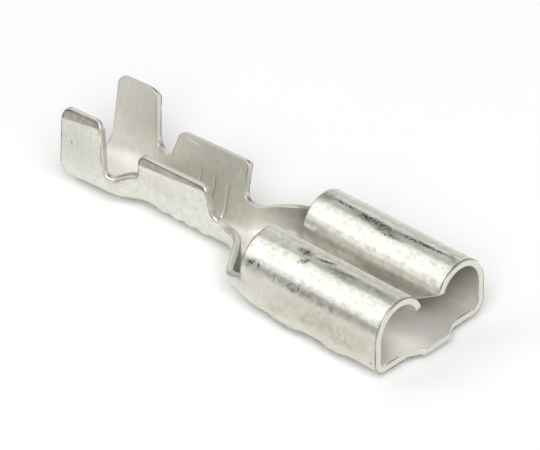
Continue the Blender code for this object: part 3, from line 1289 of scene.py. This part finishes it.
# Places that are rubbed bright, and painted light over the rolls' highlight bands and on their inner sides
POLISH_AND_LIGHT = WearAndLight(
    "#FBF9F2",
    near=(
        Mark(-5.87, 6.60, 0.10, 0.42, -6.0, 0.9),
        Mark(-5.45, 6.22, 0.36, 0.09, 0.0, 0.8),
        Mark(-0.39, 4.98, 0.09, 0.09),
        Mark(-22.44, 4.27, 0.13, 0.16),
        # Painted highlight over the near roll's highlight band, and painted light on its inner side
        Mark(-4.60, 6.50, 7.60, 0.75, 0.0, 0.2),
        Mark(-4.50, 9.60, 6.50, 0.80, 0.0, 0.7),
    ),
    far=(
        # Painted highlight over the far roll's highlight band
        Mark(-4.60, 8.70, 7.60, 0.80, 0.0, 0.15),
        Mark(-1.10, 8.75, 0.20, 0.12, 0.0, 0.8),
        # Painted light on the far roll's inner side, that faces the near roll
        Mark(-4.50, 9.95, 7.60, 1.30, 0.0, 0.95),
    ),
    rougher=0.0,
    core=0.2,
)
# Dark, flecked scuffs that the forming tools have left
SCUFFS = WearAndLight(
    "#45423E",
    near=(
        Mark(-9.00, 5.86, 0.16, 0.07, 80.0, 0.8),
        Mark(-8.44, 5.90, 0.44, 0.17, 48.0),
        Mark(-7.93, 5.96, 0.26, 0.11, -74.0),
        Mark(-6.83, 5.81, 0.22, 0.06, 90.0, 0.9),
        Mark(-5.82, 5.88, 0.26, 0.07, 45.0),
        Mark(-5.60, 5.72, 0.34, 0.14, 0.0, 0.6),
        Mark(-5.27, 5.88, 0.26, 0.07, 90.0),
        Mark(-6.10, 7.58, 0.70, 0.28),
        Mark(-5.75, 7.12, 0.40, 0.20, 30.0, 0.8),
        Mark(-4.85, 7.62, 0.80, 0.12, 10.0),
        Mark(-3.50, 7.50, 1.30, 0.12, 4.0, 0.6),
        Mark(-3.30, 7.22, 0.70, 0.12, -8.0, 0.3),
        Mark(-1.60, 7.50, 1.80, 0.16, -2.0, 0.45),
        Mark(-0.32, 4.06, 0.10, 0.10),
        Mark(-22.25, 4.10, 0.16, 0.09, 60.0, 0.9),
        Mark(-22.62, 4.34, 0.10, 0.08, 60.0, 0.7),
        Mark(-18.60, 2.70, 0.12, 0.06, 0.0, 0.6),
    ),
    far=(
        Mark(-7.40, 7.72, 1.80, 0.12, 0.0, 0.9),
        Mark(-5.50, 7.82, 2.00, 0.24, 1.0),
        Mark(-4.40, 8.08, 1.30, 0.18, 2.0, 0.8),
        Mark(-2.30, 7.70, 2.60, 0.14, -3.0),
        Mark(-8.60, 7.62, 0.60, 0.30, 20.0, 0.6),
        Mark(-0.55, 7.66, 0.60, 0.20, 20.0, 0.7),
    ),
    breakup=Breakup.FLECKS,
    rougher=0.25,
)


class Layer(NamedTuple):
    """A coat over the tin: where it lies, its colour and how much rougher it is."""

    share: Link
    colour: Link
    rougher: float


class Patterns(NamedTuple):
    """Noises that the finish reads."""

    cloud: Link
    grain: Link
    line: Link
    fleck: Link


@dataclass(frozen=True)
class TinPlate:
    """Electroplated tin over brass strip, a few micrometres thick.

    Gives the eye a pale, slightly warm satin metal: broad soft reflections, cloudy patches where the press
    has burnished the tin, fine drawing lines along the strip, and dark flecked streaks where tools have
    rubbed it. The tin's crystals, of a few micrometres, are too fine to show, so its grain is drawn at
    0.15 mm.
    """

    bright: str = "#E8E8DF"
    dull: str = "#C5C3B8"
    # Inner colours, paler than the outer ones: painted light inside the folds
    lit_inner_bright: str = "#F2F0E7"
    lit_inner_dull: str = "#E0DCD1"
    pressed: str = "#958E85"
    cut: str = "#DDDCD1"
    # Colour of the painted shade along the arrises and in the serrations' beds
    arris: str = "#77736C"
    metallic: float = 0.8
    inner_metallic: float = 0.5
    # Roughness of the dullest outer tin, and what is added to it
    roughness: float = 0.275
    bright_rougher: float = -0.05
    inner_rougher: float = 0.17
    pressed_rougher: float = 0.06
    cut_rougher: float = 0.1
    # Real size of each pattern, and its length along the strip over its width
    cloud_mm: float = 0.36
    grain_mm: float = 0.15
    line_mm: float = 0.07
    line_stretch: float = 14.0
    fleck_mm: float = 0.11
    fleck_stretch: float = 2.0
    relief_mm: float = 0.006
    # Limits of what each mask reads
    inner_face: Limits = Limits(0.5, 1.0)
    outer_face: Limits = Limits(-0.3, -0.8)
    patches: Limits = Limits(0.36, 0.64)
    speckles: Limits = Limits(0.3, 0.7)
    ragged: Limits = Limits(0.34, 0.56)
    flecked: Limits = Limits(0.42, 0.52)
    streaked: Limits = Limits(0.3, 0.6)
    coined_band: Limits = Limits(0.0, 0.12)
    groove_bed: Limits = Limits(0.3, 1.0)
    arris_rise: Limits = Limits(0.0, 0.3)
    arris_fall: Limits = Limits(0.95, 0.3)
    # Shares of the second pattern in a mixture, and the least or greatest level of a mask
    line_share: float = 0.25
    speckle_share: float = 0.35
    ragged_share: float = 0.55
    relief_share: float = 0.5
    least_broken: float = 0.15
    least_streak: float = 0.75
    groove_shade_strength: float = 0.5
    arris_shade_strength: float = 0.35
    wears_and_lights: tuple[WearAndLight, ...] = (PAINTED_SHADE_WALLS, PAINTED_LIGHT_FLOORS, TIP_CREASES, DULL_CLOUDS_AND_SHADE, POLISH_AND_LIGHT, HAZE_AND_DARK_REFLECTION, SCUFFS)

    def patterns(self, nodes: Nodes, blank: Link) -> Patterns:
        """Adds the noises: clouds and grain in space, lines and flecks stretched along the blank.

        Args:
            nodes: Node tree of the material.
            blank: Place on the blank, in millimetres.

        Returns:
            The noises.
        """
        space = nodes.add("TexCoord").outputs["Object"]
        drawn = nodes.add("Mapping", {"Vector": blank, "Scale": (1 / self.line_stretch, 1.0, 1.0)})
        rubbed = nodes.add("Mapping", {"Vector": blank, "Scale": (1 / self.fleck_stretch, 1.0, 1.0)})
        cloud = {"Vector": space, "Scale": 1 / (self.cloud_mm * MM), "Detail": 5.0, "Roughness": 0.62}
        grain = {"Vector": space, "Scale": 1 / (self.grain_mm * MM), "Detail": 2.0}
        line = {"Vector": drawn, "Scale": 1 / self.line_mm, "Detail": 3.0, "Roughness": 0.6}
        fleck = {"Vector": rubbed, "Scale": 1 / self.fleck_mm, "Detail": 4.0, "Roughness": 0.7}
        return Patterns(*(nodes.add("TexNoise", noise) for noise in (cloud, grain, line, fleck)))

    def tone(self, nodes: Nodes, patterns: Patterns) -> Link:
        """Adds the tin's tone, from 0 where it is dull to 1 where it is bright.

        Args:
            nodes: Node tree of the material.
            patterns: Noises of the finish.

        Returns:
            The tone: clouds, mixed with drawing lines and then with grain.
        """
        patch = nodes.add("MapRange", self.patches.of(patterns.cloud))
        lined = nodes.add("Mix", {0: self.line_share, 2: patch, 3: patterns.line})
        speckle = nodes.add("MapRange", self.speckles.of(patterns.grain))
        return nodes.add("Mix", {0: self.speckle_share, 2: lined, 3: speckle})

    def layers(
        self, nodes: Nodes, blank: Link, patterns: Patterns, faces: dict[Face, Link]
    ) -> list[Layer]:
        """Adds the coats over the tin.

        Args:
            nodes: Node tree of the material.
            blank: Place on the blank, in millimetres.
            patterns: Noises of the finish.
            faces: Share of each face.

        Returns:
            Coats from the lowest to the topmost: coined band, painted shade in the serrations, wear and
                painted light, cut edge and painted shade along the arrises.
        """
        cut_edge, coined, groove = (
            nodes.add("Attribute", attribute_name=name).outputs["Fac"]
            for name in ("cut_edge", "coined", "groove")
        )
        ragged = nodes.add("MapRange", self.ragged.of(patterns.cloud, self.least_broken))
        flecked = nodes.add("MapRange", self.flecked.of(patterns.fleck, self.least_broken))
        broken = {Breakup.CLOUDS: ragged, Breakup.FLECKS: flecked}

        streaks = nodes.add("MapRange", self.streaked.of(patterns.line, self.least_streak))
        band = nodes.add("MapRange", self.coined_band.of(coined))
        band = nodes.add("Math", {0: band, 1: streaks}, operation="MULTIPLY")
        torn = nodes.add("Mix", {0: self.ragged_share, 2: 1.0, 3: ragged})
        band = nodes.add("Math", {0: band, 1: torn}, operation="MULTIPLY")
        # Painted shade in the serrations' beds
        groove_shade = nodes.add("MapRange", self.groove_bed.of(groove, to_high=self.groove_shade_strength))
        found = [
            Layer(band, linear(self.pressed), self.pressed_rougher),
            Layer(groove_shade, linear(self.arris), 0.0),
        ]
        for marking in self.wears_and_lights:
            share = marking.level(nodes, blank)
            if marking.breakup in broken:
                share = nodes.add("Math", {0: share, 1: broken[marking.breakup]}, operation="MULTIPLY")
            share = nodes.add("Math", {0: share, 1: faces[marking.face]}, operation="MULTIPLY")
            found.append(Layer(share, linear(marking.colour), marking.rougher))
        # Painted shade along the arrises, between the faces and the cut edge
        rise = nodes.add("MapRange", self.arris_rise.of(cut_edge))
        fall = nodes.add("MapRange", self.arris_fall.of(cut_edge, to_high=self.arris_shade_strength))
        arris = nodes.add("Math", {0: rise, 1: fall}, operation="MULTIPLY")
        found.append(Layer(cut_edge, linear(self.cut), self.cut_rougher))
        found.append(Layer(arris, linear(self.arris), 0.0))
        return found

    def relief(self, nodes: Nodes, patterns: Patterns) -> Link:
        """Adds the fine relief: clouds and lines in one mixture, and that with grain in another.

        Args:
            nodes: Node tree of the material.
            patterns: Noises of the finish.

        Returns:
            The normal.
        """
        height = nodes.add("Mix", {0: self.relief_share, 2: patterns.cloud, 3: patterns.line})
        height = nodes.add("Mix", {0: self.relief_share, 2: height, 3: patterns.grain})
        return nodes.add("Bump", {"Height": height, "Distance": self.relief_mm * MM})

    def material(self) -> bpy.types.Material:
        """Makes the material.

        Returns:
            The material, which reads the UV map "blank" and the attributes "face", "cut_edge", "coined" and
            "groove".
        """
        material = bpy.data.materials.new("tin_plated_brass_satin")
        nodes = Nodes(material)
        blank = nodes.add("UVMap", uv_map="blank")
        face = nodes.add("Attribute", attribute_name="face").outputs["Fac"]
        faces = {
            Face.INNER: nodes.add("MapRange", self.inner_face.of(face)),
            Face.OUTER: nodes.add("MapRange", self.outer_face.of(face)),
        }
        patterns = self.patterns(nodes, blank)
        tone = self.tone(nodes, patterns)

        # Inner tin gets the paler colours: painted light inside the folds
        inner = {"Factor": tone, 6: linear(self.lit_inner_dull), 7: linear(self.lit_inner_bright)}
        outer = {"Factor": tone, 6: linear(self.dull), 7: linear(self.bright)}
        lit_inner_tin = nodes.add("Mix", inner, data_type="RGBA")
        colour = nodes.add("Mix", outer, data_type="RGBA")
        rough = nodes.add(
            "Math", {0: tone, 1: self.bright_rougher, 2: self.roughness}, operation="MULTIPLY_ADD"
        )
        layers = [Layer(faces[Face.INNER], lit_inner_tin, self.inner_rougher)]
        layers += self.layers(nodes, blank, patterns, faces)
        for share, over, rougher in layers:
            colour = nodes.add("Mix", {"Factor": share, 6: colour, 7: over}, data_type="RGBA")
            if rougher:
                rough = nodes.add("Math", {0: share, 1: rougher, 2: rough}, operation="MULTIPLY_ADD")

        metal = nodes.add("Mix", {0: faces[Face.INNER], 2: self.metallic, 3: self.inner_metallic})
        normal = self.relief(nodes, patterns)
        look = {"Base Color": colour, "Metallic": metal, "Roughness": rough, "Normal": normal}
        shader = nodes.add("BsdfPrincipled", look)
        nodes.add("OutputMaterial", {"Surface": shader})
        return material


@dataclass(frozen=True)
class SoftBox:
    """Square lamp that faces the terminal: its direction in degrees, side, radiance and distance."""

    name: str
    azimuth: float
    elevation: float
    side: float
    radiance: float
    distance: float = 1.05

    def hang(self) -> None:
        """Hangs the lamp. Its power is pi times its radiance times its area."""
        data = bpy.data.lights.new(self.name, "AREA")
        data.shape = "SQUARE"
        data.size = self.side
        data.energy = math.pi * self.radiance * self.side**2
        lamp = bpy.data.objects.new(self.name, data)
        a, e = math.radians(self.azimuth), math.radians(self.elevation)
        way = Vector((math.cos(a) * math.cos(e), math.sin(a) * math.cos(e), math.sin(e)))
        lamp.location = way * self.distance
        lamp.rotation_euler = (-way).to_track_quat("-Z", "Y").to_euler()
        bpy.context.scene.collection.objects.link(lamp)


@dataclass(frozen=True)
class Studio:
    """White card floor, a plain room with walls paler than its ceiling, and soft boxes all round."""

    floor: str = "#F9F9F9"
    floor_radius: float = 0.6
    floor_sides: int = 64
    walls: str = "#C2C2C2"
    ceiling: str = "#5C5C5C"
    ceiling_from: float = 0.33
    lamps: tuple[SoftBox, ...] = (
        SoftBox("front_box", 315.0, 45.0, 0.9, 5.1),
        SoftBox("key_box", 217.0, 42.0, 0.48, 1.6),
        SoftBox("key_low_box", 233.0, 26.0, 0.42, 1.1),
        SoftBox("key_high_box", 185.0, 57.0, 0.48, 1.3),
        SoftBox("right_box", 45.0, 15.0, 0.6, 0.55),
        SoftBox("mouth_box", 0.0, 25.0, 0.6, 0.35),
        SoftBox("rear_low_box", 135.0, 15.0, 0.6, 0.5),
        SoftBox("rear_box", 135.0, 40.0, 0.6, 0.6),
        SoftBox("rear_high_box", 120.0, 62.0, 0.48, 0.5),
    )

    def build(self) -> None:
        """Builds the room, the floor and the lamps."""
        self.build_room()
        self.build_floor()
        for lamp in self.lamps:
            lamp.hang()

    def build_room(self) -> None:
        """Sets the world round the floor: its grey goes from the walls' to the ceiling's with height."""
        world = bpy.data.worlds.new("studio")
        bpy.context.scene.world = world
        nodes = Nodes(world)
        way = nodes.add("SeparateXYZ", {"Vector": nodes.add("TexCoord").outputs["Generated"]})
        height = nodes.add("MapRange", Limits(0.0, self.ceiling_from).of(way.outputs["Z"]))
        greys = {"Factor": height, 6: linear(self.walls), 7: linear(self.ceiling)}
        room = nodes.add("Mix", greys, data_type="RGBA")
        glow = nodes.add("Background", {"Color": room})
        nodes.add("OutputWorld", {"Surface": glow})

    def build_floor(self) -> None:
        """Lays a round pale floor under the terminal."""
        turns = np.linspace(0, 2 * np.pi, self.floor_sides, endpoint=False)
        circle = np.stack([np.cos(turns), np.sin(turns), np.zeros_like(turns)], -1) * self.floor_radius
        mesh = bpy.data.meshes.new("floor")
        mesh.from_pydata(circle, [], [np.arange(self.floor_sides)])
        floor = bpy.data.objects.new("floor", mesh)
        bpy.context.scene.collection.objects.link(floor)
        material = bpy.data.materials.new("white_card")
        nodes = Nodes(material)
        card = nodes.add("BsdfDiffuse", {"Color": linear(self.floor)})
        nodes.add("OutputMaterial", {"Surface": card})
        mesh.materials.append(material)


@dataclass(frozen=True)
class View:
    """The photograph's view: the camera's direction and distance from a target, and its aim beside it."""

    azimuth: float = 42.325
    elevation: float = 35.138
    roll: float = 0.235
    distance: float = 267.3
    lens: float = 366.36
    near_clip: float = 0.01
    target: tuple[float, float, float] = (7.285, 0.0, 1.959)
    aim_left: float = 4.754
    aim_up: float = 2.901

    def build(self) -> None:
        """Makes the camera and gives it to the scene.

        Its own right and up are turned by the roll about the line to the target. The aim lies beside the
        target along these two, and the camera is then turned to face it.
        """
        a, e, r = (math.radians(v) for v in (self.azimuth, self.elevation, self.roll))
        back = Vector((math.sin(a) * math.cos(e), -math.cos(a) * math.cos(e), math.sin(e)))
        level = Vector((math.cos(a), math.sin(a), 0.0))
        upright = back.cross(level)
        right = level * math.cos(r) + upright * math.sin(r)
        up = upright * math.cos(r) - level * math.sin(r)
        place = Vector(self.target) + back * self.distance
        aim = Vector(self.target) - right * self.aim_left + up * self.aim_up
        back = (place - aim).normalized()
        right = up.cross(back).normalized()
        up = back.cross(right)
        data = bpy.data.cameras.new("camera")
        data.lens = self.lens
        data.clip_start = self.near_clip
        camera = bpy.data.objects.new("camera", data)
        turned = Matrix((right, up, back)).transposed().to_4x4()
        camera.matrix_world = Matrix.Translation(place * MM) @ turned
        bpy.context.scene.collection.objects.link(camera)
        bpy.context.scene.camera = camera


def main() -> None:
    """Builds and dresses the terminal, then the studio and the view."""
    logging.basicConfig(level=logging.INFO, format="%(name)s: %(message)s")
    skin = Terminal(TerminalForm()).build()
    skin.data.materials.append(TinPlate().material())
    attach(skin, "root")
    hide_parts(NODE)
    log.info("%s: %d points, %d quads", skin.name, len(skin.data.vertices), len(skin.data.polygons))
    Studio().build()
    View().build()
    bpy.context.scene.view_settings.view_transform = "Standard"


if __name__ == "__main__":
    main()
